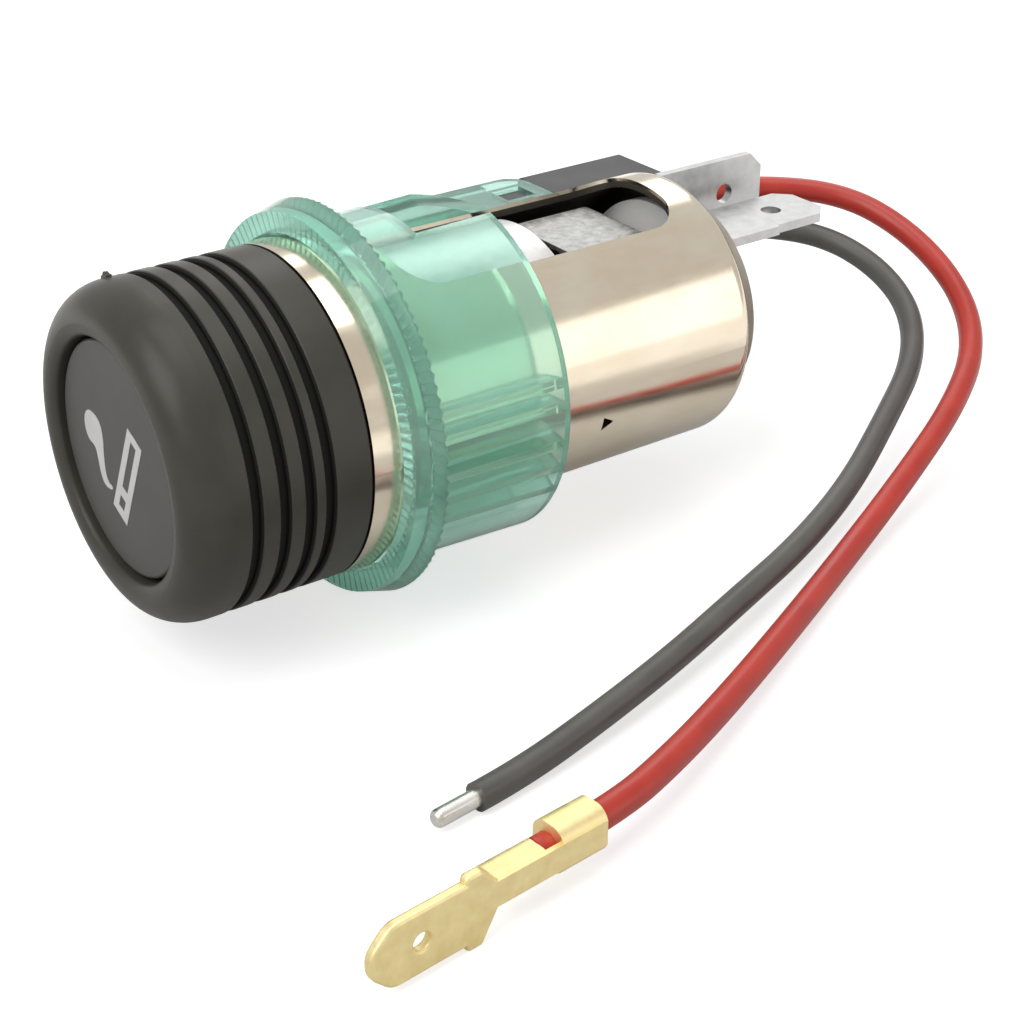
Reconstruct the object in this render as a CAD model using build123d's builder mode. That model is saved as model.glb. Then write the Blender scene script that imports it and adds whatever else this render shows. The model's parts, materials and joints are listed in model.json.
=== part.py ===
"""Car cigarette lighter: metal socket, translucent mounting ring with its lamp, and the push-in plug.

The lighter's axis is Y. The knob faces -Y, the terminals point to +Y, and Y = 0 is the panel seat,
the back of the ring's flange. All sizes are in millimetres.
"""
import os
from math import cos, radians, sin, tan

from build123d import *

os.makedirs("parts", exist_ok=True)

# Fits and clearances
touch_gap = 0.05
slide_gap = 0.2
ring_fit = 0.1
stud_clearance = 0.4
skirt_clearance = 0.1
stop_gap = 0.3

# Socket shell, drawn from steel sheet with its mouth hemmed back as a bezel
bore_radius = 10.7
shell_wall = 0.8
shell_rear = 34.4
shell_corner = 1.5
bezel_front = -5.2
bezel_wall = 2.2
bezel_rear = -0.2
lip_round = 0.5
window_width = 11.8
window_front = 4.0
window_rear = 30.7
window_corner = 3.0
lance_size = 1.5
lance_y = 18.9
lance_z = -3.3

# Mounting ring, one translucent moulding
flange_front = -2.3
flange_front_radius = 15.35
flange_radius = 16.0
sleeve_wall = 1.1
sleeve_front_radius = 13.9
sleeve_rear_radius = 14.3
sleeve_rear = 12.7
floor_thickness = 1.4
inner_rib_angles = (78, 86, 100, 110, 120, 150, 180, 210, 240)
inner_rib_width = 0.8
notch_front = 5.8
notch_near_angle = 15.0
notch_far_angle = -33.0
wing_end_angle = -62.0
wing_rear = 24.5

# Lamp channel on the ring's far side, with the holder that slides into it
channel_far = -19.4
channel_near = -11.8
channel_top = 6.5
channel_bottom = -3.9
channel_wall = 0.8
channel_front = 2.0
channel_mouth = 28.0
cavity_front = 6.0
tongue_end = 31.9
tongue_round = 2.2
latch_width = 2.6
latch_length = 3.0
latch_y = 28.9
latch_height = 0.5
latch_play = 0.2
holder_front = 23.0
holder_rear = 43.8
holder_round = 0.6
head_gap = 0.3
head_drop = 0.15
bulb_radius = 2.2
bulb_front = 12.5
bulb_seat_depth = 3.0
contact_thickness = 0.3
contact_width = 2.0
contact_reach = 4.0

# Knob
knob_front = -19.5
knob_radius = 13.3
trim_wall = 0.5
trim_play = 0.2
knob_crest_radius = 10.6
knob_rim = -18.9
knob_shoulder = -16.0
groove_places = (-14.3, -12.0, -9.9, -8.2)
groove_width = 0.65
groove_depth = 0.5
groove_chamfer = 0.22
cap_radius = 9.3
cap_gap = 0.3
cap_face = -18.6
cap_thickness = 2.0
cap_edge = 0.3
spring_pocket = -14.4
pocket_clearance = 0.6
plate_clearance = 0.3
stud_socket = -16.0

# Plug: barrel, stud and heating element
push_travel = 2.0
barrel_wall = 0.5
barrel_plate = 0.6
barrel_flange_radius = 12.0
barrel_rear = 18.2
stud_radius = 2.0
washer_radius = 5.0
washer_thickness = 0.8
washer_play = 0.3
nut_across_flats = 7.0
nut_height = 2.0
spring_radius = 7.5
spring_wire = 0.8
spring_turns = 3
cup_radius = 7.4
cup_wall = 0.5
cup_front = 15.2
cup_rear = 19.8
element_disc = 1.0
coil_strip = 0.45
coil_pitch = 0.95
coil_depth = 1.6
coil_half_turns = 9
coil_rivet_radius = 0.9

# Rear stack: bimetal clip, insulators, rivets and blade terminals
clip_width = 9.6
clip_thickness = 0.4
clip_arm_top = 8.4
clip_grip = 0.8
collar_length = 2.9
clip_bend = 0.6
inner_insulator_radius = 9.3
inner_insulator_thickness = 1.3
boss_radius = 3.1
rivet_radius = 2.2
rivet_head_radius = 3.6
rivet_head = 0.9
collar_radius = 3.4
rear_insulator_radius = 9.2
rear_insulator_thickness = 1.8
insulator_flat = -3.3
blade_thickness = 0.8
blade_width = 6.3
blade_reach = 13.6
blade_corner = 1.3
blade_shoulder_reach = 7.2
blade_root_extra = 0.35
blade_hole_radius = 0.9
blade_hole_setback = 4.3
positive_blade_x = 1.75
positive_blade_top = 6.7
positive_blade_ahead = 0.7
positive_base_radius = 7.4
negative_blade_x = -4.1
negative_blade_z = 6.8
foot_low = 1.0
foot_far = -8.9
ground_rivet_x = -6.5
ground_rivet_z = 3.3
ground_rivet_radius = 1.0
ground_head_radius = 1.7
ground_head = 0.7

# Leads, and the male tab crimped on the red one
lead_radius = 1.1
core_radius = 0.6
tip_length = 3.9
tip_radius = 0.68
tip_round = 0.5
tab_tip_x = 45.7
tab_tip_y = -26.0
tab_heading = 95.5
tab_thickness = 0.8
tab_width = 4.8
tab_shoulder = 7.5
tab_shoulder_length = 1.3
tab_shoulder_extra = 0.5
tab_corner = 1.6
tab_tip_round = 1.6
tab_shoulder_round = 0.35
tab_edge_round = 0.25
crimp_roundness = 0.75
crimp_overlap = 0.6
crimp_rise = 0.45
grip_slack = 0.3
tab_hole = 4.0
tab_hole_radius = 0.65
tab_neck = 10.2
crimp_sheet = 0.4
core_crimp_end = 14.4
grip_crimp_start = 15.6
grip_crimp_end = 19.5

# Worked out from the sizes above
shell_radius = bore_radius + shell_wall
bezel_radius = bore_radius + bezel_wall
knob_rear = flange_front - push_travel - stop_gap
shell_floor = shell_rear - shell_wall
inner_insulator_front = shell_floor - inner_insulator_thickness
clip_rear = inner_insulator_front - collar_length
blade_tip = shell_rear + blade_reach
blade_shoulder = shell_rear + blade_shoulder_reach
barrel_radius = bore_radius - slide_gap
plate_rear = bezel_front - touch_gap
plate_front = plate_rear - barrel_plate
skirt_depth = bezel_front - push_travel - stop_gap
plate_depth = plate_front - push_travel - stop_gap
clip_front = cup_rear + push_travel - clip_grip
skirt_radius = bezel_radius + skirt_clearance
trim_radius = skirt_radius + trim_wall
recess_radius = trim_radius + trim_play
cap_floor = cap_face + cap_thickness
recess_cap_radius = cap_radius + cap_gap
ring_inner = shell_radius + ring_fit
floor_z = -flange_radius
lead_lie = floor_z + lead_radius
tab_axis_z = floor_z + tab_width / 2 + tab_shoulder_extra
tab_along = Vector(1, 0, 0).rotate(Axis.Z, tab_heading)
tab_plane = Plane((tab_tip_x, tab_tip_y, tab_axis_z), x_dir=tab_along, z_dir=tab_along.rotate(Axis.Z, 90))
lead_height = crimp_sheet + lead_radius


def section_at(y):
    """Plane square to the axis at y: local x is +X and local y is +Z. A negative extrusion goes to +Y."""
    return Plane.XZ.offset(-y)


def on_circle(radius, angle, y):
    """Point at an angle from +Z, turning towards +X."""
    return Vector(radius * sin(radians(angle)), y, radius * cos(radians(angle)))


def bend_radii(points):
    """The largest arc that each corner's two runs leave room for."""
    places = [Vector(*point) for point in points]
    radii = []
    for before, corner, after in zip(places, places[1:], places[2:]):
        run_in = corner - before
        run_out = after - corner
        turn = run_in.get_angle(run_out)
        radii.append(0.45 * min(run_in.length, run_out.length) / tan(radians(turn / 2)))
    return radii


# Socket shell
with BuildPart() as socket_shell:
    with BuildSketch(Plane.XY):
        with BuildLine():
            Polyline(
                (bore_radius, bezel_front),
                (bezel_radius, bezel_front),
                (bezel_radius, bezel_rear),
                (shell_radius, bezel_rear),
                (shell_radius, shell_rear),
                (boss_radius + ring_fit, shell_rear),
                (boss_radius + ring_fit, shell_floor),
                (bore_radius, shell_floor),
                close=True,
            )
        make_face()
        rear_corners = vertices().filter_by(lambda v: v.Y > shell_rear - 0.01)
        fillet(rear_corners.filter_by(lambda v: v.X > shell_radius - 0.01), shell_corner)
        fillet(vertices().filter_by(lambda v: v.Y < bezel_front + 0.01), lip_round)
    revolve(axis=Axis.Y)
    with BuildSketch(Plane.XY):
        with Locations((0, (window_front + window_rear) / 2)):
            RectangleRounded(window_width, window_rear - window_front, window_corner)
    extrude(amount=shell_radius + shell_wall, mode=Mode.SUBTRACT)
    with BuildSketch(Plane.YZ):
        with Locations((lance_y, lance_z)):
            RegularPolygon(lance_size / 2, 3)
    extrude(amount=shell_radius, both=True, mode=Mode.SUBTRACT)
    with BuildSketch(section_at(shell_floor)):
        with Locations((ground_rivet_x, ground_rivet_z)):
            Circle(ground_rivet_radius)
    extrude(amount=-shell_wall, mode=Mode.SUBTRACT)

# Mounting ring: flange, sleeve, inner ribs, wing and lamp channel in one moulding
with BuildPart() as wing:
    with BuildSketch(Plane.XY):
        with BuildLine():
            Polyline(
                (sleeve_rear_radius - sleeve_wall, sleeve_rear),
                (sleeve_rear_radius, sleeve_rear),
                (sleeve_rear_radius, wing_rear),
                (sleeve_rear_radius - sleeve_wall, wing_rear),
                close=True,
            )
        make_face()
    revolve(axis=Axis.Y)
    wedge_reach = 2 * sleeve_rear_radius
    with BuildSketch(section_at(sleeve_rear)):
        with BuildLine():
            near = on_circle(wedge_reach, notch_far_angle, 0)
            far = on_circle(wedge_reach, wing_end_angle, 0)
            Polyline((0, 0), (near.X, near.Z), (far.X, far.Z), close=True)
        make_face()
    extrude(amount=-(wing_rear - sleeve_rear), mode=Mode.INTERSECT)
    slope_start = on_circle(sleeve_rear_radius, notch_far_angle, sleeve_rear)
    slope_end = on_circle(sleeve_rear_radius, wing_end_angle, wing_rear)
    slope_side = on_circle(1.0, (notch_far_angle + wing_end_angle) / 2, 0)
    slope_normal = (slope_end - slope_start).cross(slope_side)
    split(bisect_by=Plane(slope_start, z_dir=slope_normal), keep=Keep.BOTTOM)

with BuildPart() as light_ring:
    with BuildSketch(Plane.XY):
        with BuildLine():
            Polyline(
                (ring_inner, bezel_rear),
                (recess_radius, bezel_rear),
                (recess_radius, flange_front),
                (flange_front_radius, flange_front),
                (flange_radius, 0),
                (sleeve_front_radius, 0),
                (sleeve_rear_radius, sleeve_rear),
                (sleeve_rear_radius - sleeve_wall, sleeve_rear),
                (sleeve_front_radius - sleeve_wall, bezel_rear + floor_thickness),
                (ring_inner, bezel_rear + floor_thickness),
                close=True,
            )
        make_face()
    revolve(axis=Axis.Y)
    with BuildSketch(section_at(bezel_rear)):
        rib_middle = (ring_inner + sleeve_front_radius - sleeve_wall / 2) / 2
        rib_length = sleeve_front_radius - sleeve_wall / 2 - ring_inner
        for rib_angle in inner_rib_angles:
            rib_place = on_circle(rib_middle, rib_angle, 0)
            with Locations(Location((rib_place.X, rib_place.Z), 90 - rib_angle)):
                Rectangle(rib_length, inner_rib_width)
        Circle(ring_inner, mode=Mode.SUBTRACT)
    extrude(amount=-(sleeve_rear - bezel_rear))
    with BuildSketch(section_at(notch_front)):
        with BuildLine():
            near = on_circle(wedge_reach, notch_near_angle, 0)
            far = on_circle(wedge_reach, notch_far_angle, 0)
            Polyline((0, 0), (near.X, near.Z), (far.X, far.Z), close=True)
        make_face()
    extrude(amount=-sleeve_rear, mode=Mode.SUBTRACT)
    add(wing.part)
    with BuildSketch(section_at(channel_front)):
        with Locations(((channel_far + channel_near) / 2, (channel_top + channel_bottom) / 2)):
            Rectangle(channel_near - channel_far, channel_top - channel_bottom)
    extrude(amount=-(channel_mouth - channel_front))
    with BuildSketch(Plane.XY.offset(channel_top - channel_wall)):
        with Locations(((channel_far + channel_near) / 2, (channel_mouth + tongue_end) / 2)):
            Rectangle(channel_near - channel_far, tongue_end - channel_mouth)
        tongue_corners = vertices().filter_by(lambda v: v.Y > tongue_end - 0.01)
        fillet(tongue_corners, tongue_round)
    extrude(amount=channel_wall)
    with BuildSketch(section_at(cavity_front)):
        with Locations(((channel_far + channel_near) / 2, (channel_top + channel_bottom) / 2)):
            Rectangle(
                channel_near - channel_far - 2 * channel_wall,
                channel_top - channel_bottom - 2 * channel_wall,
            )
    extrude(amount=-(tongue_end - cavity_front), mode=Mode.SUBTRACT)
    with BuildSketch(Plane.XY.offset(channel_top - channel_wall)):
        with Locations(((channel_far + channel_near) / 2, latch_y)):
            Rectangle(latch_width, latch_length)
    extrude(amount=channel_wall, mode=Mode.SUBTRACT)
    with BuildSketch(section_at(bezel_rear)):
        Circle(ring_inner)
    extrude(amount=-shell_rear, mode=Mode.SUBTRACT)

# Lamp holder, bulb and contacts
holder_x = (channel_far + channel_near) / 2
holder_z = (channel_top + channel_bottom) / 2
holder_width = channel_near - channel_far - 2 * channel_wall - 2 * touch_gap
holder_height = channel_top - channel_bottom - 2 * channel_wall - 2 * touch_gap
head_width = channel_near - channel_far
head_height = channel_top - channel_bottom - 2 * head_drop
with BuildPart() as lamp_holder:
    with BuildSketch(section_at(holder_front)):
        with Locations((holder_x, holder_z)):
            RectangleRounded(holder_width, holder_height, holder_round)
    extrude(amount=-(holder_rear - holder_front))
    with BuildSketch(section_at(tongue_end + head_gap)):
        with Locations((holder_x, holder_z)):
            RectangleRounded(head_width, head_height, holder_round)
    extrude(amount=-(holder_rear - tongue_end - head_gap))
    with BuildSketch(Plane.XY.offset(holder_z + holder_height / 2 - latch_height)):
        with Locations((holder_x, latch_y)):
            Rectangle(latch_width - 2 * latch_play, latch_length - 2 * latch_play)
    extrude(amount=2 * latch_height)
    with BuildSketch(section_at(holder_front)):
        with Locations((holder_x, holder_z)):
            Circle(bulb_radius)
            Rectangle(contact_width, 2 * (bulb_radius + contact_thickness))
    extrude(amount=-bulb_seat_depth, mode=Mode.SUBTRACT)

with BuildPart() as lamp_bulb:
    with BuildSketch(section_at(holder_front + bulb_seat_depth)):
        with Locations((holder_x, holder_z)):
            Circle(bulb_radius)
    extrude(amount=holder_front + bulb_seat_depth - bulb_front)
    fillet(lamp_bulb.faces().sort_by(Axis.Y)[0].edges(), 0.8 * bulb_radius)

with BuildPart() as lamp_contacts:
    with BuildSketch(section_at(holder_front + bulb_seat_depth)):
        with Locations(
            (holder_x, holder_z + bulb_radius + contact_thickness / 2),
            (holder_x, holder_z - bulb_radius - contact_thickness / 2),
        ):
            Rectangle(contact_width, contact_thickness)
    extrude(amount=bulb_seat_depth + contact_reach)

# Knob and its cap
with BuildPart() as knob:
    with BuildSketch(Plane.XY):
        with BuildLine():
            Polyline(
                (recess_cap_radius, knob_rim),
                (recess_cap_radius, cap_floor),
                (0, cap_floor),
                (0, stud_socket),
                (stud_radius, stud_socket),
                (stud_radius, spring_pocket),
                (spring_radius + pocket_clearance, spring_pocket),
                (spring_radius + pocket_clearance, plate_depth),
                (barrel_flange_radius + plate_clearance, plate_depth),
                (barrel_flange_radius + plate_clearance, skirt_depth),
                (skirt_radius, skirt_depth),
                (skirt_radius, knob_rear),
                (knob_radius, knob_rear),
                (knob_radius, knob_shoulder),
            )
            EllipticalCenterArc(
                center=(knob_crest_radius, knob_shoulder),
                x_radius=knob_radius - knob_crest_radius,
                y_radius=knob_shoulder - knob_front,
                start_angle=270,
                arc_size=90,
            )
            EllipticalCenterArc(
                center=(knob_crest_radius, knob_rim),
                x_radius=knob_crest_radius - recess_cap_radius,
                y_radius=knob_rim - knob_front,
                start_angle=180,
                arc_size=90,
            )
        make_face()
        with Locations([(knob_radius, place) for place in groove_places]):
            Rectangle(2 * groove_depth, groove_width, mode=Mode.SUBTRACT)
        outer = vertices().filter_by(lambda v: v.X > knob_radius - 0.01)
        chamfer(outer.filter_by(lambda v: v.Y > knob_shoulder + 0.01), groove_chamfer)
    revolve(axis=Axis.Y)

# Bright ring behind the knob, which slides into the flange's recess as the knob goes in
with BuildPart() as trim_ring:
    with BuildSketch(Plane.XY):
        with BuildLine():
            Polyline(
                (skirt_radius, knob_rear + touch_gap),
                (knob_radius, knob_rear + touch_gap),
                (trim_radius, flange_front),
                (skirt_radius, flange_front),
                close=True,
            )
        make_face()
    revolve(axis=Axis.Y)

with BuildPart() as knob_cap:
    with BuildSketch(section_at(cap_floor)):
        Circle(cap_radius)
    extrude(amount=cap_thickness)
    fillet(knob_cap.faces().sort_by(Axis.Y)[0].edges(), cap_edge)

# Plug barrel: a drawn cup whose flange rests on the socket's lip
with BuildPart() as plug_barrel:
    with BuildSketch(Plane.XY):
        with BuildLine():
            Polyline(
                (stud_radius + stud_clearance, plate_front),
                (barrel_flange_radius, plate_front),
                (barrel_flange_radius, plate_rear),
                (barrel_radius, plate_rear),
                (barrel_radius, barrel_rear),
                (barrel_radius - barrel_wall, barrel_rear),
                (barrel_radius - barrel_wall, plate_rear),
                (stud_radius + stud_clearance, plate_rear),
                close=True,
            )
        make_face()
    revolve(axis=Axis.Y)

# Return spring between the knob's web and the barrel's plate
spring_length = plate_front - spring_pocket - spring_wire - 2 * touch_gap
spring_start = spring_pocket + spring_wire / 2 + touch_gap
with BuildPart() as return_spring:
    with BuildLine() as spring_line:
        Helix(
            pitch=spring_length / spring_turns,
            height=spring_length,
            radius=spring_radius,
            center=(0, spring_start, 0),
            direction=(0, 1, 0),
        )
    with BuildSketch(Plane(origin=spring_line.line @ 0, z_dir=spring_line.line % 0)):
        RegularPolygon(spring_wire / 2, 6)
    sweep(is_frenet=True)

# Centre stud with its stop washer and nut
washer_front = plate_rear + washer_play
with BuildPart() as centre_stud:
    with BuildSketch(section_at(stud_socket)):
        Circle(stud_radius)
    extrude(amount=-(cup_front - stud_socket))

with BuildPart() as stop_washer:
    with BuildSketch(section_at(washer_front)):
        Circle(washer_radius)
        Circle(stud_radius, mode=Mode.SUBTRACT)
    extrude(amount=-washer_thickness)

with BuildPart() as stud_nut:
    with BuildSketch(section_at(washer_front + washer_thickness)):
        RegularPolygon(nut_across_flats / 2, 6, major_radius=False)
        Circle(stud_radius, mode=Mode.SUBTRACT)
    extrude(amount=-nut_height)

# Heating cup, its insulating disc, the spiral element and its rivet
disc_front = cup_front + cup_wall
coil_front = disc_front + element_disc
with BuildPart() as heating_cup:
    with BuildSketch(Plane.XY):
        with BuildLine():
            Polyline(
                (coil_rivet_radius, cup_front),
                (cup_radius, cup_front),
                (cup_radius, cup_rear),
                (cup_radius - cup_wall, cup_rear),
                (cup_radius - cup_wall, disc_front),
                (coil_rivet_radius, disc_front),
                close=True,
            )
        make_face()
    revolve(axis=Axis.Y)

with BuildPart() as coil_insulator:
    with BuildSketch(section_at(disc_front)):
        Circle(cup_radius - cup_wall)
        Circle(coil_rivet_radius, mode=Mode.SUBTRACT)
    extrude(amount=-element_disc)

with BuildPart() as coil_rivet:
    with BuildSketch(section_at(cup_front)):
        Circle(coil_rivet_radius)
    extrude(amount=-(coil_front + coil_depth - cup_front))

with BuildPart() as heating_coil:
    with BuildSketch(section_at(coil_front)):
        with BuildLine():
            inner_end = coil_rivet_radius + coil_strip / 2
            left_end = -inner_end
            for half_turn in range(coil_half_turns):
                reach = inner_end + (half_turn + 1) * coil_pitch / 2
                side = 1 if half_turn % 2 == 0 else -1
                radius = (reach - left_end * side) / 2
                middle = (reach * side + left_end) / 2
                CenterArc((middle, 0), radius, 180 if side > 0 else 0, 180)
                left_end = reach * side
        trace(line_width=coil_strip)
    extrude(amount=-coil_depth)

# Bimetal clip: a folded strip whose arms grip the heating cup
with BuildPart() as bimetal_clip:
    with BuildSketch(Plane.YZ.offset(-clip_width / 2)):
        with BuildLine():
            FilletPolyline(
                (clip_front, clip_arm_top - clip_thickness / 2),
                (clip_rear - clip_thickness / 2, clip_arm_top - clip_thickness / 2),
                (clip_rear - clip_thickness / 2, -clip_arm_top + clip_thickness / 2),
                (clip_front, -clip_arm_top + clip_thickness / 2),
                radius=clip_bend,
            )
        trace(line_width=clip_thickness)
    extrude(amount=clip_width)
    with BuildSketch(section_at(clip_rear)):
        Circle(rivet_radius)
    extrude(amount=clip_thickness, mode=Mode.SUBTRACT)

# Insulators, centre rivet and blade terminals
rear_plate = shell_rear + rear_insulator_thickness
terminal_rear = rear_plate + blade_thickness
with BuildPart() as inner_insulator:
    with BuildSketch(section_at(inner_insulator_front)):
        Circle(inner_insulator_radius)
    extrude(amount=-(shell_floor - inner_insulator_front))
    with BuildSketch(section_at(shell_floor)):
        Circle(boss_radius)
    extrude(amount=-shell_wall)
    with BuildSketch(section_at(inner_insulator_front)):
        Circle(rivet_radius)
    extrude(amount=-(shell_rear - inner_insulator_front), mode=Mode.SUBTRACT)

with BuildPart() as contact_rivet:
    with BuildSketch(section_at(clip_rear - clip_thickness)):
        Circle(rivet_head_radius)
    extrude(amount=rivet_head)
    with BuildSketch(section_at(clip_rear - clip_thickness)):
        Circle(rivet_radius)
    extrude(amount=-(terminal_rear - clip_rear + clip_thickness))
    with BuildSketch(section_at(clip_rear)):
        Circle(collar_radius)
    extrude(amount=-(inner_insulator_front - clip_rear))
    with BuildSketch(section_at(terminal_rear)):
        Circle(rivet_head_radius)
    extrude(amount=-rivet_head)

with BuildPart() as rear_insulator:
    with BuildSketch(section_at(shell_rear)):
        Circle(rear_insulator_radius)
        with Locations((insulator_flat, 0)):
            Rectangle(
                rear_insulator_radius,
                2 * rear_insulator_radius,
                align=(Align.MAX, Align.CENTER),
                mode=Mode.SUBTRACT,
            )
        Circle(rivet_radius, mode=Mode.SUBTRACT)
    extrude(amount=-rear_insulator_thickness)

# Blade in its own plane: local x runs from the root to the tip, local y across its width
half_width = blade_width / 2
root_half_width = half_width + blade_root_extra
with BuildSketch() as blade_outline:
    with BuildLine():
        Polyline(
            (rear_plate, -root_half_width),
            (blade_shoulder, -root_half_width),
            (blade_shoulder, -half_width),
            (blade_tip - blade_corner, -half_width),
            (blade_tip, -half_width + blade_corner),
            (blade_tip, half_width - blade_corner),
            (blade_tip - blade_corner, half_width),
            (rear_plate, half_width),
            close=True,
        )
    make_face()
    with Locations((blade_tip - blade_hole_setback, 0)):
        Circle(blade_hole_radius, mode=Mode.SUBTRACT)

with BuildPart() as positive_terminal:
    with BuildSketch(section_at(rear_plate)):
        Circle(positive_base_radius)
        with Locations((positive_blade_x, 0)):
            Rectangle(2 * root_half_width, positive_blade_top, align=(Align.CENTER, Align.MIN))
        with Locations((insulator_flat, 0)):
            Rectangle(
                positive_base_radius,
                2 * positive_base_radius,
                align=(Align.MAX, Align.CENTER),
                mode=Mode.SUBTRACT,
            )
        with Locations((0, positive_blade_top)):
            Rectangle(
                2 * positive_base_radius,
                positive_base_radius,
                align=(Align.CENTER, Align.MIN),
                mode=Mode.SUBTRACT,
            )
        Circle(rivet_radius, mode=Mode.SUBTRACT)
    extrude(amount=-blade_thickness)
    blade_root = (positive_blade_x, positive_blade_ahead, positive_blade_top)
    with BuildSketch(Plane(blade_root, x_dir=(0, 1, 0), z_dir=(0, 0, 1))):
        add(blade_outline.sketch)
    extrude(amount=-blade_thickness)

foot_rear = shell_rear + blade_thickness
foot_flat = shell_radius - shell_corner
foot_near = negative_blade_x + blade_thickness / 2
with BuildPart() as negative_terminal:
    with BuildSketch(section_at(shell_rear)):
        Circle(foot_flat)
        with Locations(((foot_near + foot_far) / 2, foot_low)):
            Rectangle(
                foot_near - foot_far,
                foot_flat,
                align=(Align.CENTER, Align.MIN),
                mode=Mode.INTERSECT,
            )
        with Locations((ground_rivet_x, ground_rivet_z)):
            Circle(ground_rivet_radius, mode=Mode.SUBTRACT)
    extrude(amount=-blade_thickness)
    with BuildSketch(Plane((foot_near, 0, negative_blade_z), x_dir=(0, 1, 0), z_dir=(1, 0, 0))):
        add(blade_outline.sketch)
    extrude(amount=-blade_thickness)
    with BuildSketch(Plane((foot_near, 0, negative_blade_z), x_dir=(0, 1, 0), z_dir=(1, 0, 0))):
        with Locations(((shell_rear + rear_plate) / 2, -root_half_width / 2)):
            Rectangle(rear_plate - shell_rear, root_half_width)
    extrude(amount=-blade_thickness)

with BuildPart() as ground_rivet:
    with BuildSketch(section_at(shell_floor)):
        with Locations((ground_rivet_x, ground_rivet_z)):
            Circle(ground_rivet_radius)
    extrude(amount=-(foot_rear - shell_floor))
    with BuildSketch(section_at(foot_rear)):
        with Locations((ground_rivet_x, ground_rivet_z)):
            Circle(ground_head_radius)
    extrude(amount=-ground_head)

# Leads: they leave the lamp holder's rear face and come down to lie beside the lighter
tab_wire_end = tab_plane.from_local_coords((core_crimp_end + touch_gap, -crimp_rise, lead_height))
tab_wire_entry = tab_plane.from_local_coords((grip_crimp_end + 2 * lead_radius, -crimp_rise, lead_height))
red_route = [
    (-17.0, holder_rear, 1.5),
    (-17.0, 50.0, 1.5),
    (-15.2, 58.0, 1.4),
    (-9.8, 64.9, 0.7),
    (-2.6, 67.6, -1.8),
    (5.0, 66.0, -4.9),
    (11.2, 61.0, -7.5),
    (15.9, 53.8, -9.7),
    (20.0, 44.6, -12.1),
    (24.3, 33.8, -14.0),
    (30.8, 20.9, -13.9),
    (35.7, 10.9, -13.6),
    (39.4, 2.9, -13.3),
    tuple(tab_wire_entry),
    tuple(tab_wire_end),
]
black_route = [
    (-14.6, holder_rear, -1.2),
    (-14.6, 49.5, -1.2),
    (-12.8, 56.5, -1.7),
    (-8.6, 61.2, -2.6),
    (-2.6, 62.6, -4.4),
    (3.3, 60.9, -6.4),
    (8.2, 56.6, -8.8),
    (12.4, 50.2, -11.0),
    (17.0, 41.4, -13.0),
    (21.6, 31.2, -14.5),
    (25.7, 21.0, lead_lie),
    (29.0, 11.4, lead_lie),
    (31.3, 2.4, lead_lie),
    (32.7, -5.4, lead_lie),
    (33.2, -9.6, lead_lie),
]
red_radii = bend_radii(red_route)
black_radii = bend_radii(black_route)

with BuildPart() as red_wire:
    with BuildLine() as red_line:
        FilletPolyline(*red_route, radius=red_radii)
    with BuildSketch(Plane(origin=red_line.line @ 0, z_dir=red_line.line % 0)):
        Circle(lead_radius)
    sweep()

with BuildPart() as black_wire:
    with BuildLine() as black_line:
        FilletPolyline(*black_route, radius=black_radii)
    with BuildSketch(Plane(origin=black_line.line @ 0, z_dir=black_line.line % 0)):
        Circle(lead_radius)
    sweep()

with BuildPart() as black_wire_tip:
    with BuildSketch(Plane(origin=black_line.line @ 1, z_dir=black_line.line % 1)):
        Circle(tip_radius)
    extrude(amount=tip_length)
    far_rims = edges().filter_by(GeomType.CIRCLE).sort_by_distance(black_line.line @ 1)
    fillet(far_rims[-1], tip_round)

# Male tab: a folded blade with shoulders, a neck and two crimps round the red lead
with BuildPart() as spade_terminal:
    with BuildSketch(tab_plane):
        half = tab_width / 2
        wide = half + tab_shoulder_extra
        slim = core_radius + crimp_sheet
        with BuildLine():
            Polyline(
                (0, -half + tab_corner),
                (tab_corner, -half),
                (tab_shoulder, -half),
                (tab_shoulder, -wide),
                (tab_shoulder + tab_shoulder_length, -wide),
                (tab_neck, -slim - crimp_rise),
                (tab_neck, slim - crimp_rise),
                (tab_shoulder + tab_shoulder_length, wide),
                (tab_shoulder, wide),
                (tab_shoulder, half),
                (tab_corner, half),
                (0, half - tab_corner),
                close=True,
            )
        make_face()
        fillet(vertices().filter_by(lambda v: abs(v.Y) > wide - 0.01), tab_shoulder_round)
        fillet(vertices().filter_by(lambda v: v.X < tab_corner + 0.01), tab_tip_round)
        with Locations((tab_hole, 0)):
            Circle(tab_hole_radius, mode=Mode.SUBTRACT)
    extrude(amount=tab_thickness)
    blade_faces = faces().filter_by(tab_plane)
    fillet(blade_faces.edges(), tab_edge_round)
    with BuildSketch(tab_plane):
        with Locations((tab_neck - crimp_overlap, -crimp_rise)):
            Rectangle(grip_crimp_end - tab_neck + crimp_overlap, 2 * slim, align=(Align.MIN, Align.CENTER))
    extrude(amount=crimp_sheet)
    with BuildSketch(Plane(tab_plane.from_local_coords((tab_neck, -crimp_rise, 0)), x_dir=tab_plane.y_dir,
                           z_dir=tab_plane.x_dir)):
        with Locations((0, (lead_height + slim) / 2)):
            RectangleRounded(2 * slim, lead_height + slim, crimp_roundness * slim)
        with Locations((0, lead_height)):
            Circle(core_radius, mode=Mode.SUBTRACT)
    extrude(amount=core_crimp_end - tab_neck)
    grip_start = tab_plane.from_local_coords((grip_crimp_start, -crimp_rise, 0))
    with BuildSketch(Plane(grip_start, x_dir=tab_plane.y_dir, z_dir=tab_plane.x_dir)):
        with Locations((0, lead_height)):
            RectangleRounded(2 * (lead_height + grip_slack), 2 * lead_height, crimp_roundness * lead_height)
            Circle(lead_radius, mode=Mode.SUBTRACT)
    extrude(amount=grip_crimp_end - grip_crimp_start)

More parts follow.
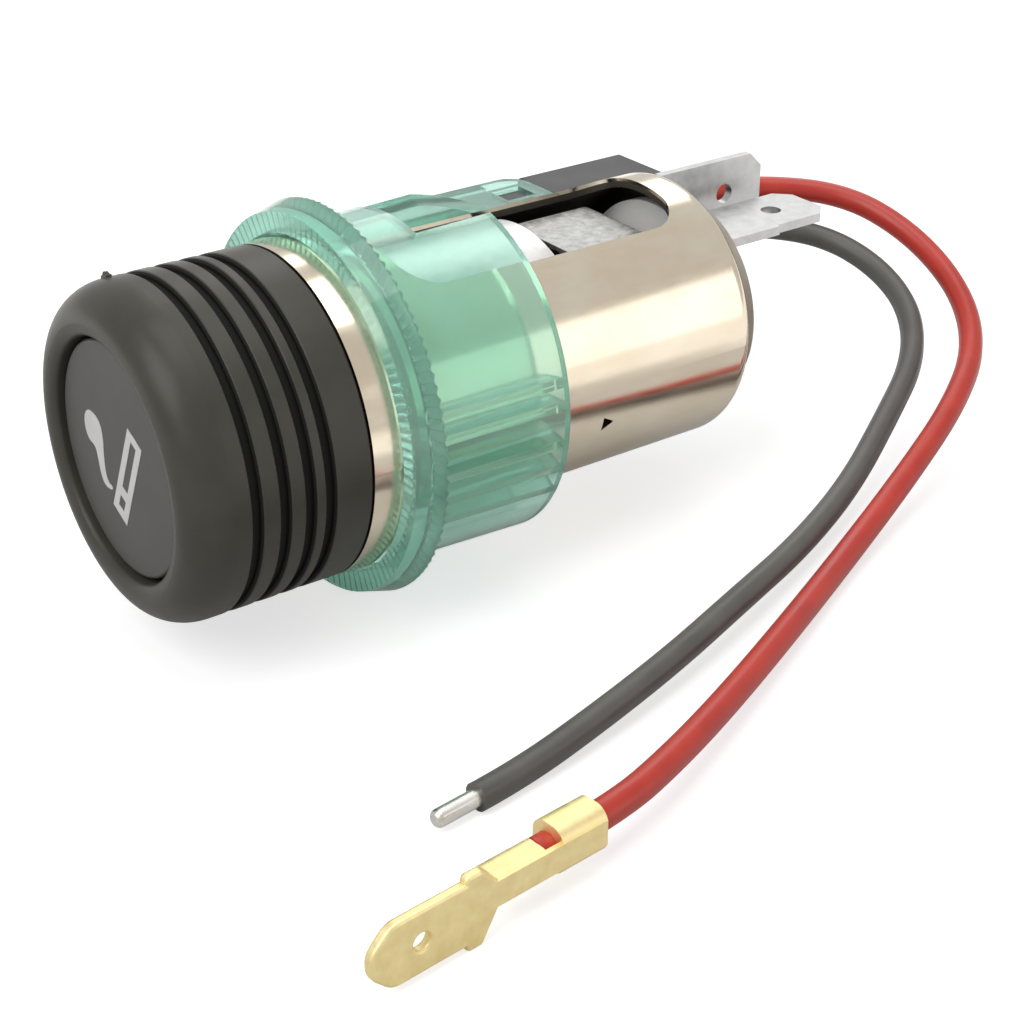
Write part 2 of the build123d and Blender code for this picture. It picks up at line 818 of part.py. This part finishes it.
with BuildPart() as red_conductor:
    core_start = tab_plane.from_local_coords((tab_neck, -crimp_rise, lead_height))
    with BuildSketch(Plane(core_start, z_dir=tab_plane.x_dir)):
        Circle(core_radius)
    extrude(amount=core_crimp_end - tab_neck)

nodes = {
    "socket_shell": socket_shell,
    "light_ring": light_ring,
    "lamp_holder": lamp_holder,
    "lamp_bulb": lamp_bulb,
    "lamp_contacts": lamp_contacts,
    "knob": knob,
    "knob_cap": knob_cap,
    "trim_ring": trim_ring,
    "plug_barrel": plug_barrel,
    "return_spring": return_spring,
    "centre_stud": centre_stud,
    "stop_washer": stop_washer,
    "stud_nut": stud_nut,
    "heating_cup": heating_cup,
    "coil_insulator": coil_insulator,
    "coil_rivet": coil_rivet,
    "heating_coil": heating_coil,
    "bimetal_clip": bimetal_clip,
    "inner_insulator": inner_insulator,
    "contact_rivet": contact_rivet,
    "rear_insulator": rear_insulator,
    "positive_terminal": positive_terminal,
    "negative_terminal": negative_terminal,
    "ground_rivet": ground_rivet,
    "red_wire": red_wire,
    "black_wire": black_wire,
    "black_wire_tip": black_wire_tip,
    "spade_terminal": spade_terminal,
    "red_conductor": red_conductor,
}
for name, built in nodes.items():
    built.part.label = name
    export_step(built.part, f"parts/{name}.step")

for colour, line, radii in (("red", red_line, red_radii), ("black", black_line, black_radii)):
    length = sum(edge.length for edge in line.edges())
    print(colour, "lead", round(length, 1), "long, bends", [round(radius, 1) for radius in radii])
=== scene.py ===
"""Looks of the car cigarette lighter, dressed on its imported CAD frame. Lengths are in metres."""
import json
from math import cos, pi, radians, sin

import bpy
from mathutils import Matrix, Vector


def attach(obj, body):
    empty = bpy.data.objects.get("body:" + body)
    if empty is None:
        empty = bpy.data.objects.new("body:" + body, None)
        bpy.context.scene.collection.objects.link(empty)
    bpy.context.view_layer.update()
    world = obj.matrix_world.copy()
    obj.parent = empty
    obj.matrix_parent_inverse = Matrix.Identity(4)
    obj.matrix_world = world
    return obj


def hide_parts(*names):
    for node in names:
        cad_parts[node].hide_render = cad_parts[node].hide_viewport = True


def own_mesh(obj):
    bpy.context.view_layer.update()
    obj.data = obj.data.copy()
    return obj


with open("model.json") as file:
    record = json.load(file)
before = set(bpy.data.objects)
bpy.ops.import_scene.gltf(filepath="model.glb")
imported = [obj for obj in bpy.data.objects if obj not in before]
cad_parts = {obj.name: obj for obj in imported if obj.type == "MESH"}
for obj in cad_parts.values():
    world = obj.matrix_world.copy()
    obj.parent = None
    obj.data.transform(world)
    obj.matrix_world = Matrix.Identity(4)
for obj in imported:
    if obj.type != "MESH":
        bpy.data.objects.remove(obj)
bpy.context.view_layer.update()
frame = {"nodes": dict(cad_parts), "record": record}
nodes = frame["nodes"]
MM = 0.001
bpy.context.scene.view_settings.view_transform = "Standard"

# Sizes shared with the solids
FLOOR_Z = -16.0 * MM
CAP_FACE_Y = -18.6 * MM
FLANGE_RADIUS = 16.0 * MM
SHELL_INSIDE = 11.2 * MM
GROOVE_TOP = 13.22 * MM
KNOB_SHOULDER_Y = -15.6 * MM
LEAD_DIAMETER = 2.2 * MM

# Part of a noise's range that a finish spreads its tones and its gloss over
NOISE_LOW = 0.3
NOISE_HIGH = 0.7

# Noise scales and relief of the moulded and the metal pieces
CLOUD_SCALE = 220
GRAIN_SCALE = 5200
MOULDED_RELIEF = 0.02 * MM
METAL_RELIEF = 0.01 * MM


# Node helpers

def new_finish(name):
    """A new material, with its node tree and its shader."""
    finish = bpy.data.materials.new(name)
    finish.use_nodes = True
    return finish, finish.node_tree, finish.node_tree.nodes["Principled BSDF"]


def mottling(tree, scale, detail=4.0, stretch=(1, 1, 1)):
    """Noise on object coordinates, stretched along an axis where the maker's marks run that way."""
    place = tree.nodes.new("ShaderNodeTexCoord")
    turn = tree.nodes.new("ShaderNodeMapping")
    turn.inputs["Scale"].default_value = stretch
    noise = tree.nodes.new("ShaderNodeTexNoise")
    noise.inputs["Scale"].default_value = scale
    noise.inputs["Detail"].default_value = detail
    noise.inputs["Roughness"].default_value = 0.55
    tree.links.new(place.outputs["Object"], turn.inputs["Vector"])
    tree.links.new(turn.outputs["Vector"], noise.inputs["Vector"])
    return noise


def shade_between(tree, source, dark, light):
    """Two tones of one colour, chosen by a texture's value."""
    ramp = tree.nodes.new("ShaderNodeValToRGB")
    ramp.color_ramp.elements[0].position = NOISE_LOW
    ramp.color_ramp.elements[0].color = (*dark, 1)
    ramp.color_ramp.elements[1].position = NOISE_HIGH
    ramp.color_ramp.elements[1].color = (*light, 1)
    tree.links.new(source, ramp.inputs["Fac"])
    return ramp.outputs["Color"]


def value_between(tree, source, low, high):
    """A texture's value moved into a range."""
    span = tree.nodes.new("ShaderNodeMapRange")
    span.inputs["From Min"].default_value = NOISE_LOW
    span.inputs["From Max"].default_value = NOISE_HIGH
    span.inputs["To Min"].default_value = low
    span.inputs["To Max"].default_value = high
    tree.links.new(source, span.inputs["Value"])
    return span.outputs["Result"]


def grain(tree, shader, source, strength, depth):
    """Fine relief from a texture's value."""
    bump = tree.nodes.new("ShaderNodeBump")
    bump.inputs["Strength"].default_value = strength
    bump.inputs["Distance"].default_value = depth
    tree.links.new(source, bump.inputs["Height"])
    tree.links.new(bump.outputs["Normal"], shader.inputs["Normal"])


# Finishes

def moulded_plastic(name, dark, light, rough_low, rough_high, bump=0.12):
    """Plastic or board with slightly cloudy tones and a fine grain."""
    finish, tree, shader = new_finish(name)
    cloud = mottling(tree, CLOUD_SCALE).outputs["Fac"]
    fine = mottling(tree, GRAIN_SCALE, detail=2.0).outputs["Fac"]
    tree.links.new(shade_between(tree, cloud, dark, light), shader.inputs["Base Color"])
    tree.links.new(value_between(tree, cloud, rough_low, rough_high), shader.inputs["Roughness"])
    grain(tree, shader, fine, bump, MOULDED_RELIEF)
    return finish


def plated_metal(name, dark, light, rough_low, rough_high, bump=0.05, stretch=(1, 1, 1), scale=900):
    """Metal whose tones, gloss and relief come from the same marks."""
    finish, tree, shader = new_finish(name)
    shader.inputs["Metallic"].default_value = 1.0
    marks = mottling(tree, scale, detail=6.0, stretch=stretch).outputs["Fac"]
    tree.links.new(shade_between(tree, marks, dark, light), shader.inputs["Base Color"])
    tree.links.new(value_between(tree, marks, rough_low, rough_high), shader.inputs["Roughness"])
    grain(tree, shader, marks, bump, METAL_RELIEF)
    return finish


def tinted_moulding():
    """Translucent teal of the ring: mostly clear, a little milky."""
    finish, tree, shader = new_finish("ring_green")
    cloud = mottling(tree, 120)
    tint = shade_between(tree, cloud.outputs["Fac"], (0.56, 0.88, 0.77), (0.62, 0.91, 0.81))
    tree.links.new(tint, shader.inputs["Base Color"])
    shader.inputs["Transmission Weight"].default_value = 0.82
    shader.inputs["IOR"].default_value = 1.46
    tree.links.new(value_between(tree, cloud.outputs["Fac"], 0.06, 0.11), shader.inputs["Roughness"])
    return finish


def inside_of(tree, radius):
    """1 where the surface lies nearer to the lighter's axis than a radius, else 0."""
    place = tree.nodes.new("ShaderNodeTexCoord")
    flat = tree.nodes.new("ShaderNodeVectorMath")
    flat.operation = "MULTIPLY"
    flat.inputs[1].default_value = (1, 0, 1)
    reach = tree.nodes.new("ShaderNodeVectorMath")
    reach.operation = "LENGTH"
    nearer = tree.nodes.new("ShaderNodeMath")
    nearer.operation = "LESS_THAN"
    nearer.inputs[1].default_value = radius
    tree.links.new(place.outputs["Object"], flat.inputs[0])
    tree.links.new(flat.outputs["Vector"], reach.inputs[0])
    tree.links.new(reach.outputs["Value"], nearer.inputs[0])
    return nearer.outputs["Value"]


def feed(tree, value, socket):
    """A socket's value, either plain or taken from another socket."""
    if isinstance(value, bpy.types.NodeSocket):
        tree.links.new(value, socket)
    else:
        socket.default_value = value


def mixed(tree, kind, share, first, second):
    """One of two colours or values, chosen by a share; either may be a socket or a plain value."""
    mix = tree.nodes.new("ShaderNodeMix")
    mix.data_type = kind
    sockets = {"RGBA": (6, 7, 2), "FLOAT": (2, 3, 0)}[kind]
    tree.links.new(share, mix.inputs[0])
    for slot, value in zip(sockets, (first, second)):
        feed(tree, value, mix.inputs[slot])
    return mix.outputs[sockets[2]]


def behind(tree, distance):
    """1 where the surface lies further along the lighter than a distance, else 0."""
    place = tree.nodes.new("ShaderNodeTexCoord")
    split = tree.nodes.new("ShaderNodeSeparateXYZ")
    further = tree.nodes.new("ShaderNodeMath")
    further.operation = "GREATER_THAN"
    further.inputs[1].default_value = distance
    tree.links.new(place.outputs["Object"], split.inputs["Vector"])
    tree.links.new(split.outputs["Y"], further.inputs[0])
    return further.outputs["Value"]


def grooved_plastic():
    """Satin black of the knob, with painted shade darkening the bottoms of its grooves, which are also left
    rough.
    """
    finish, tree, shader = new_finish("knob_black")
    cloud = mottling(tree, CLOUD_SCALE)
    fine = mottling(tree, GRAIN_SCALE, detail=2.0)
    satin = shade_between(tree, cloud.outputs["Fac"], (0.060, 0.057, 0.045), (0.074, 0.071, 0.058))
    # Painted shade: the bottoms of the grooves, inside GROOVE_TOP and behind the knob's shoulder, are
    # coloured near black.
    painted_groove_shade = (0.006, 0.006, 0.005, 1)
    groove = tree.nodes.new("ShaderNodeMath")
    groove.operation = "MULTIPLY"
    tree.links.new(inside_of(tree, GROOVE_TOP), groove.inputs[0])
    tree.links.new(behind(tree, KNOB_SHOULDER_Y), groove.inputs[1])
    depth = groove.outputs["Value"]
    tree.links.new(mixed(tree, "RGBA", depth, satin, painted_groove_shade), shader.inputs["Base Color"])
    polish = value_between(tree, cloud.outputs["Fac"], 0.31, 0.40)
    tree.links.new(mixed(tree, "FLOAT", depth, polish, 0.75), shader.inputs["Roughness"])
    shader.inputs["Specular IOR Level"].default_value = 0.25
    grain(tree, shader, fine.outputs["Fac"], 0.12, MOULDED_RELIEF)
    return finish


def drawn_nickel():
    """Warm polished plating with faint cloudy marks, painted dark with shade inside the tube and left rough
    there.
    """
    finish, tree, shader = new_finish("nickel")
    shader.inputs["Metallic"].default_value = 1.0
    cloud = mottling(tree, 260, detail=3.0, stretch=(1, 0.5, 1))
    fine = mottling(tree, 2600, detail=5.0, stretch=(1, 0.15, 1))
    plated = shade_between(tree, cloud.outputs["Fac"], (0.77, 0.66, 0.50), (0.85, 0.76, 0.62))
    inside = inside_of(tree, SHELL_INSIDE)
    # Painted shade: inside the tube the plating is coloured near black.
    painted_tube_shade = (0.10, 0.09, 0.075, 1)
    colour = mixed(tree, "RGBA", inside, plated, painted_tube_shade)
    tree.links.new(colour, shader.inputs["Base Color"])
    polish = value_between(tree, fine.outputs["Fac"], 0.13, 0.20)
    tree.links.new(mixed(tree, "FLOAT", inside, polish, 0.55), shader.inputs["Roughness"])
    grain(tree, shader, fine.outputs["Fac"], 0.04, METAL_RELIEF)
    return finish


def bulb_glass():
    """Clear glass of the lamp."""
    finish, tree, shader = new_finish("bulb_glass")
    cloud = mottling(tree, 300)
    tint = shade_between(tree, cloud.outputs["Fac"], (0.90, 0.90, 0.88), (0.97, 0.97, 0.96))
    tree.links.new(tint, shader.inputs["Base Color"])
    shader.inputs["Transmission Weight"].default_value = 1.0
    tree.links.new(value_between(tree, cloud.outputs["Fac"], 0.03, 0.08), shader.inputs["Roughness"])
    return finish


finishes = {
    "nickel": drawn_nickel(),
    "ring_green": tinted_moulding(),
    "holder_grey": moulded_plastic("holder_grey", (0.030, 0.030, 0.032), (0.045, 0.045, 0.046), 0.40, 0.52),
    "bulb_glass": bulb_glass(),
    "tinned": plated_metal("tinned", (0.44, 0.44, 0.435), (0.58, 0.58, 0.57), 0.30, 0.44),
    "knob_black": grooved_plastic(),
    "cap_grey": moulded_plastic("cap_grey", (0.070, 0.067, 0.060), (0.079, 0.077, 0.068), 0.42, 0.52),
    "bright_steel": plated_metal("bright_steel", (0.62, 0.61, 0.60), (0.74, 0.73, 0.71), 0.28, 0.40),
    "spring_steel": plated_metal("spring_steel", (0.32, 0.32, 0.33), (0.50, 0.50, 0.50), 0.25, 0.40),
    "insulator": moulded_plastic("insulator", (0.88, 0.87, 0.84), (0.95, 0.94, 0.91), 0.55, 0.70, bump=0.3),
    "element": plated_metal("element", (0.20, 0.16, 0.14), (0.42, 0.36, 0.32), 0.40, 0.60),
    "bimetal": plated_metal(
        "bimetal", (0.34, 0.34, 0.33), (0.62, 0.62, 0.60), 0.42, 0.60, bump=0.3, scale=1600,
    ),
    "rear_board": moulded_plastic(
        "rear_board", (0.40, 0.35, 0.27), (0.55, 0.50, 0.41), 0.55, 0.70, bump=0.3,
    ),
    "red_pvc": moulded_plastic("red_pvc", (0.52, 0.034, 0.022), (0.64, 0.054, 0.032), 0.30, 0.42),
    "sign_white": moulded_plastic("sign_white", (0.70, 0.69, 0.67), (0.80, 0.79, 0.77), 0.45, 0.60),
    "black_pvc": moulded_plastic("black_pvc", (0.102, 0.098, 0.090), (0.135, 0.130, 0.118), 0.34, 0.46),
    "solder": plated_metal(
        "solder", (0.70, 0.69, 0.63), (0.86, 0.85, 0.80), 0.25, 0.40, stretch=(1, 0.3, 1),
    ),
    "brass_strip": plated_metal("brass_strip", (0.88, 0.71, 0.35), (0.97, 0.84, 0.47), 0.42, 0.56),
}
for entry in frame["record"]["subparts"]:
    node = nodes[entry["node"]]
    node.data.materials.clear()
    node.data.materials.append(finishes[entry["material_slot"]])


# Leads: smooth splines close to the solids' routes, in millimetres

def lead(name, route, finish):
    """A round lead along a route given in millimetres."""
    curve = bpy.data.curves.new(name, "CURVE")
    curve.dimensions = "3D"
    curve.bevel_depth = LEAD_DIAMETER / 2
    curve.bevel_resolution = 6
    curve.resolution_u = 12
    curve.use_fill_caps = True
    spline = curve.splines.new("NURBS")
    spline.points.add(len(route) - 1)
    for point, place in zip(spline.points, route):
        point.co = (*(value * MM for value in place), 1)
    spline.order_u = 3
    spline.use_endpoint_u = True
    piece = bpy.data.objects.new(name, curve)
    bpy.context.scene.collection.objects.link(piece)
    piece.data.materials.append(finishes[finish])
    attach(piece, "socket")
    return piece


red_route = [
    (-17.0, 43.8, 1.5),
    (-17.0, 50.0, 1.5),
    (-15.2, 58.0, 1.4),
    (-9.6, 65.1, 0.7),
    (-2.3, 67.4, -1.8),
    (5.6, 66.2, -4.9),
    (11.9, 61.7, -7.5),
    (16.4, 54.3, -9.7),
    (20.0, 44.6, -12.7),
    (24.3, 33.8, -14.6),
    (30.8, 20.9, -14.1),
    (35.7, 10.9, -13.6),
    (39.4, 2.9, -13.0),
    (42.127, -4.544, -12.65),
    (42.822, -11.760, -12.65),
]
black_route = [
    (-14.6, 43.8, -1.2),
    (-14.6, 49.5, -1.2),
    (-12.8, 56.5, -1.7),
    (-8.4, 61.7, -2.6),
    (-2.4, 63.2, -4.4),
    (3.8, 61.5, -6.4),
    (8.7, 57.1, -8.8),
    (12.4, 50.2, -11.0),
    (17.0, 41.4, -13.3),
    (21.6, 31.2, -13.9),
    (25.7, 21.0, -13.4),
    (29.0, 11.4, -13.7),
    (31.3, 2.4, -14.2),
    (32.7, -5.4, -14.9),
    (33.2, -9.6, -14.9),
]
red_lead = lead("red_lead", red_route, "red_pvc")
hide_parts("red_wire")
black_lead = lead("black_lead", black_route, "black_pvc")
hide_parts("black_wire")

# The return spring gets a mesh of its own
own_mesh(nodes["return_spring"])


# Modelling helper

def pick(piece, test):
    """Go into edit mode with only those vertices selected that pass a test on their place."""
    if piece.mode == "EDIT":
        bpy.ops.object.mode_set(mode="OBJECT")
    for part in (*piece.data.polygons, *piece.data.edges):
        part.select = False
    for vertex in piece.data.vertices:
        vertex.select = test(vertex.co)
    bpy.ops.object.mode_set(mode="EDIT")
    bpy.ops.mesh.select_mode(type="VERT")


# Sign on the cap: a bar with two windows and a wisp of smoke, in millimetres about the cap's middle

def flat_sign(name, outlines, depth):
    """A thin plate cut to closed outlines, lying on the cap's face."""
    curve = bpy.data.curves.new(name, "CURVE")
    curve.dimensions = "2D"
    curve.fill_mode = "BOTH"
    curve.extrude = depth / 2
    curve.resolution_u = 8
    for kind, outline in outlines:
        spline = curve.splines.new(kind)
        spline.points.add(len(outline) - 1)
        for point, place in zip(spline.points, outline):
            point.co = (place[0] * MM, place[1] * MM, 0, 1)
        spline.use_cyclic_u = True
        if kind == "NURBS":
            spline.order_u = 3
    plate = bpy.data.objects.new(name, curve)
    bpy.context.scene.collection.objects.link(plate)
    bpy.ops.object.select_all(action="DESELECT")
    plate.select_set(True)
    bpy.context.view_layer.objects.active = plate
    bpy.ops.object.convert(target="MESH")
    plate = bpy.context.object
    plate.data.transform(Matrix.Translation((0, CAP_FACE_Y, 0)) @ Matrix.Rotation(radians(90), 4, "X"))
    plate.data.update()
    return plate


BAR_MIDDLE = (1.19, -0.98)
BAR_TILT = radians(63.9)
BAR_HALF_LENGTH = 4.4
BAR_HALF_WIDTH = 1.15
WINDOW_HALF_WIDTH = 0.42
SIGN_DEPTH = 0.06 * MM


def bar_window(start, end, half_width):
    """Corners of a rectangle that lies along the tilted bar."""
    corners = []
    for along, across in ((start, -half_width), (end, -half_width), (end, half_width), (start, half_width)):
        x = BAR_MIDDLE[0] + along * cos(BAR_TILT) + across * sin(BAR_TILT)
        z = BAR_MIDDLE[1] + along * sin(BAR_TILT) - across * cos(BAR_TILT)
        corners.append((x, z))
    return corners


smoke = [
    (-4.45, 2.55), (-5.35, 1.95), (-5.65, 0.85), (-5.20, -0.25), (-4.00, -0.40),
    (-3.75, -1.30), (-3.55, -2.50), (-3.00, -3.35), (-1.75, -3.30), (-1.55, -2.90),
    (-2.35, -2.80), (-2.65, -2.00), (-2.65, -0.60), (-2.45, 1.00), (-2.85, 2.20),
]
sign = flat_sign(
    "cap_sign",
    [
        ("POLY", bar_window(-BAR_HALF_LENGTH, BAR_HALF_LENGTH, BAR_HALF_WIDTH)),
        ("POLY", bar_window(-1.45, 3.65, WINDOW_HALF_WIDTH)),
        ("POLY", bar_window(-3.58, -2.45, WINDOW_HALF_WIDTH)),
        ("NURBS", smoke),
    ],
    SIGN_DEPTH,
)
sign.data.materials.append(finishes["sign_white"])
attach(sign, "knob")


# Torn gate of the moulding, left on the knob's edge

GATE_SIZE = (0.95 * MM, 0.5 * MM, 0.36 * MM)
GATE_PLACE = (0, -16.1 * MM, 13.35 * MM)
GATE_TURN = radians(-20)


def gate_mark():
    """A small stub with two torn points, set into the knob's shoulder."""
    bpy.ops.object.select_all(action="DESELECT")
    bpy.ops.mesh.primitive_cube_add(size=1.0)
    stub = bpy.context.object
    stub.name = "gate_mark"
    bpy.ops.object.mode_set(mode="EDIT")
    bpy.ops.mesh.subdivide(number_cuts=3)
    pick(stub, lambda place: place.z > 0.4 and abs(abs(place.x) - 0.25) < 0.1)
    bpy.ops.transform.translate(value=(0, 0, 0.6))
    bpy.ops.transform.resize(value=(1.0, 0.3, 1.0), center_override=(0, 0, 0))
    pick(stub, lambda place: 0.4 < place.z < 0.6)
    bpy.ops.transform.resize(value=(0.8, 0.6, 1.0), center_override=(0, 0, 0.5))
    bpy.ops.object.mode_set(mode="OBJECT")
    size = Matrix.Diagonal((*GATE_SIZE, 1))
    lift = Matrix.Translation(GATE_PLACE)
    stub.data.transform(Matrix.Rotation(GATE_TURN, 4, "Y") @ lift @ size)
    stub.data.update()
    return stub


gate = gate_mark()
gate.data.materials.append(finishes["knob_black"])
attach(gate, "knob")


# Fine ridges on the flange's back, which keep the ring from turning in its panel

RIDGE_COUNT = 108
RIDGE_INNER = 13.6 * MM
RIDGE_OUTER = FLANGE_RADIUS - 0.05 * MM
RIDGE_HEIGHT = 0.28 * MM
RIDGE_SUNK = 0.03 * MM
RIDGE_CREST = 0.12


def flange_ridges():
    """One ridge shaped from a block, then copied round the axis and joined."""
    width = 2 * pi * RIDGE_OUTER / RIDGE_COUNT
    middle = (RIDGE_INNER + RIDGE_OUTER) / 2
    bpy.ops.object.select_all(action="DESELECT")
    bpy.ops.mesh.primitive_cube_add(size=1.0, location=(0, 0, middle))
    first = bpy.context.object
    first.name = "flange_ridges"
    first.scale = (width, RIDGE_HEIGHT, RIDGE_OUTER - RIDGE_INNER)
    first.location.y = RIDGE_HEIGHT / 2 - RIDGE_SUNK
    bpy.ops.object.transform_apply(location=True, rotation=False, scale=True)
    pick(first, lambda place: place.y > RIDGE_HEIGHT / 2)
    bpy.ops.transform.resize(value=(RIDGE_CREST, 1, 1), center_override=(0, 0, 0))
    pick(first, lambda place: place.z < middle)
    bpy.ops.transform.resize(value=(RIDGE_INNER / RIDGE_OUTER, 1, 1), center_override=(0, 0, 0))
    bpy.ops.object.mode_set(mode="OBJECT")
    copies = [first]
    for step in range(1, RIDGE_COUNT):
        copy = first.copy()
        copy.data = first.data.copy()
        copy.data.transform(Matrix.Rotation(2 * pi * step / RIDGE_COUNT, 4, "Y"))
        bpy.context.scene.collection.objects.link(copy)
        copies.append(copy)
    bpy.ops.object.select_all(action="DESELECT")
    for copy in copies:
        copy.select_set(True)
    bpy.context.view_layer.objects.active = first
    bpy.ops.object.join()
    return first


ridges = flange_ridges()
ridges.data.materials.append(finishes["ring_green"])
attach(ridges, "socket")


# Camera, floor and light

CAMERA_PLACE = (125.59 * MM, -73.54 * MM, 68.04 * MM)
CAMERA_DOWN = 28.40
CAMERA_TURN = 54.07
CAMERA_LENS = 71.03

camera_data = bpy.data.cameras.new("camera")
camera_data.sensor_width = 36.0
camera_data.lens = CAMERA_LENS
camera_data.clip_start = 0.001
camera = bpy.data.objects.new("camera", camera_data)
camera.location = CAMERA_PLACE
camera.rotation_euler = (radians(90 - CAMERA_DOWN), 0, radians(CAMERA_TURN))
bpy.context.scene.collection.objects.link(camera)
bpy.context.scene.camera = camera


def seen_directly(tree, direct, mirrored, clear):
    """Levels for rays from the camera, off shiny pieces and through clear ones, and 0 for all other rays."""
    path = tree.nodes.new("ShaderNodeLightPath")
    levels = {"Is Camera Ray": direct, "Is Glossy Ray": mirrored, "Is Transmission Ray": clear}
    total = None
    for ray, level in levels.items():
        share = tree.nodes.new("ShaderNodeMath")
        share.operation = "MULTIPLY"
        feed(tree, level, share.inputs[1])
        tree.links.new(path.outputs[ray], share.inputs[0])
        if total is not None:
            either = tree.nodes.new("ShaderNodeMath")
            either.operation = "MAXIMUM"
            tree.links.new(total, either.inputs[0])
            tree.links.new(share.outputs["Value"], either.inputs[1])
            total = either.outputs["Value"]
        else:
            total = share.outputs["Value"]
    return total


def far_glow(tree, near_level, far_level, start, end):
    """A level that rises from near the lighter to further away, between two distances from it."""
    place = tree.nodes.new("ShaderNodeTexCoord")
    reach = tree.nodes.new("ShaderNodeVectorMath")
    reach.operation = "LENGTH"
    rise = tree.nodes.new("ShaderNodeMapRange")
    rise.inputs["From Min"].default_value = start
    rise.inputs["From Max"].default_value = end
    rise.inputs["To Min"].default_value = near_level
    rise.inputs["To Max"].default_value = far_level
    tree.links.new(place.outputs["Object"], reach.inputs[0])
    tree.links.new(reach.outputs["Value"], rise.inputs["Value"])
    return rise.outputs["Result"]


def pale_floor():
    """White ground that still takes the shadow, with painted shade in its reflections near the lighter."""
    ground = bpy.data.materials.new("pale_floor")
    ground.use_nodes = True
    tree = ground.node_tree
    tree.nodes.clear()
    surface = tree.nodes.new("ShaderNodeBsdfDiffuse")
    surface.inputs["Color"].default_value = (0.62, 0.62, 0.62, 1)
    glow = tree.nodes.new("ShaderNodeEmission")
    seen = far_glow(tree, 0.68, 1.0, 0.25, 0.80)
    # Painted shade: the glow that shiny pieces mirror is dimmed near the lighter, rising from 68 to 88 mm
    # out.
    mirrored = far_glow(tree, 0.12, 0.68, 68 * MM, 88 * MM)
    tree.links.new(seen_directly(tree, seen, mirrored, 0.50), glow.inputs["Strength"])
    both = tree.nodes.new("ShaderNodeAddShader")
    tree.links.new(surface.outputs["BSDF"], both.inputs[0])
    tree.links.new(glow.outputs["Emission"], both.inputs[1])
    out = tree.nodes.new("ShaderNodeOutputMaterial")
    tree.links.new(both.outputs["Shader"], out.inputs["Surface"])
    return ground


bpy.ops.object.select_all(action="DESELECT")
bpy.ops.mesh.primitive_plane_add(size=6.0, location=(0, 0, FLOOR_Z))
floor = bpy.context.object
floor.name = "floor"
floor.data.materials.append(pale_floor())

AMBIENT = 0.25
MIRRORED_SKY = 0.66
world = bpy.data.worlds.new("studio")
bpy.context.scene.world = world
world.use_nodes = True
sky = world.node_tree
air = sky.nodes["Background"]
air.inputs["Color"].default_value = (1, 1, 1, 1)
light = sky.nodes.new("ShaderNodeMath")
light.operation = "ADD"
light.inputs[1].default_value = AMBIENT
sky.links.new(seen_directly(sky, 1 - AMBIENT, MIRRORED_SKY - AMBIENT, 1 - AMBIENT), light.inputs[0])
sky.links.new(light.outputs["Value"], air.inputs["Strength"])


def soft_lamp(name, place, aim, width, height, power):
    """A soft box turned towards a point."""
    lamp_data = bpy.data.lights.new(name, "AREA")
    lamp_data.shape = "RECTANGLE"
    lamp_data.size = width
    lamp_data.size_y = height
    lamp_data.energy = power
    lamp = bpy.data.objects.new(name, lamp_data)
    lamp.location = place
    lamp.rotation_euler = (Vector(aim) - Vector(place)).to_track_quat("-Z", "Y").to_euler()
    bpy.context.scene.collection.objects.link(lamp)


MIDDLE = (0.0, 0.015, 0.0)
soft_lamp("key", (0.10, -0.45, 0.50), MIDDLE, 0.45, 0.45, 2.2)
soft_lamp("overhead", (0.0, 0.10, 0.75), MIDDLE, 0.50, 0.50, 1.8)
soft_lamp("side", (0.517, 0.419, 0.150), MIDDLE, 0.40, 0.36, 0.43)
soft_lamp("back", (-0.45, 0.45, 0.45), MIDDLE, 0.40, 0.40, 0.8)
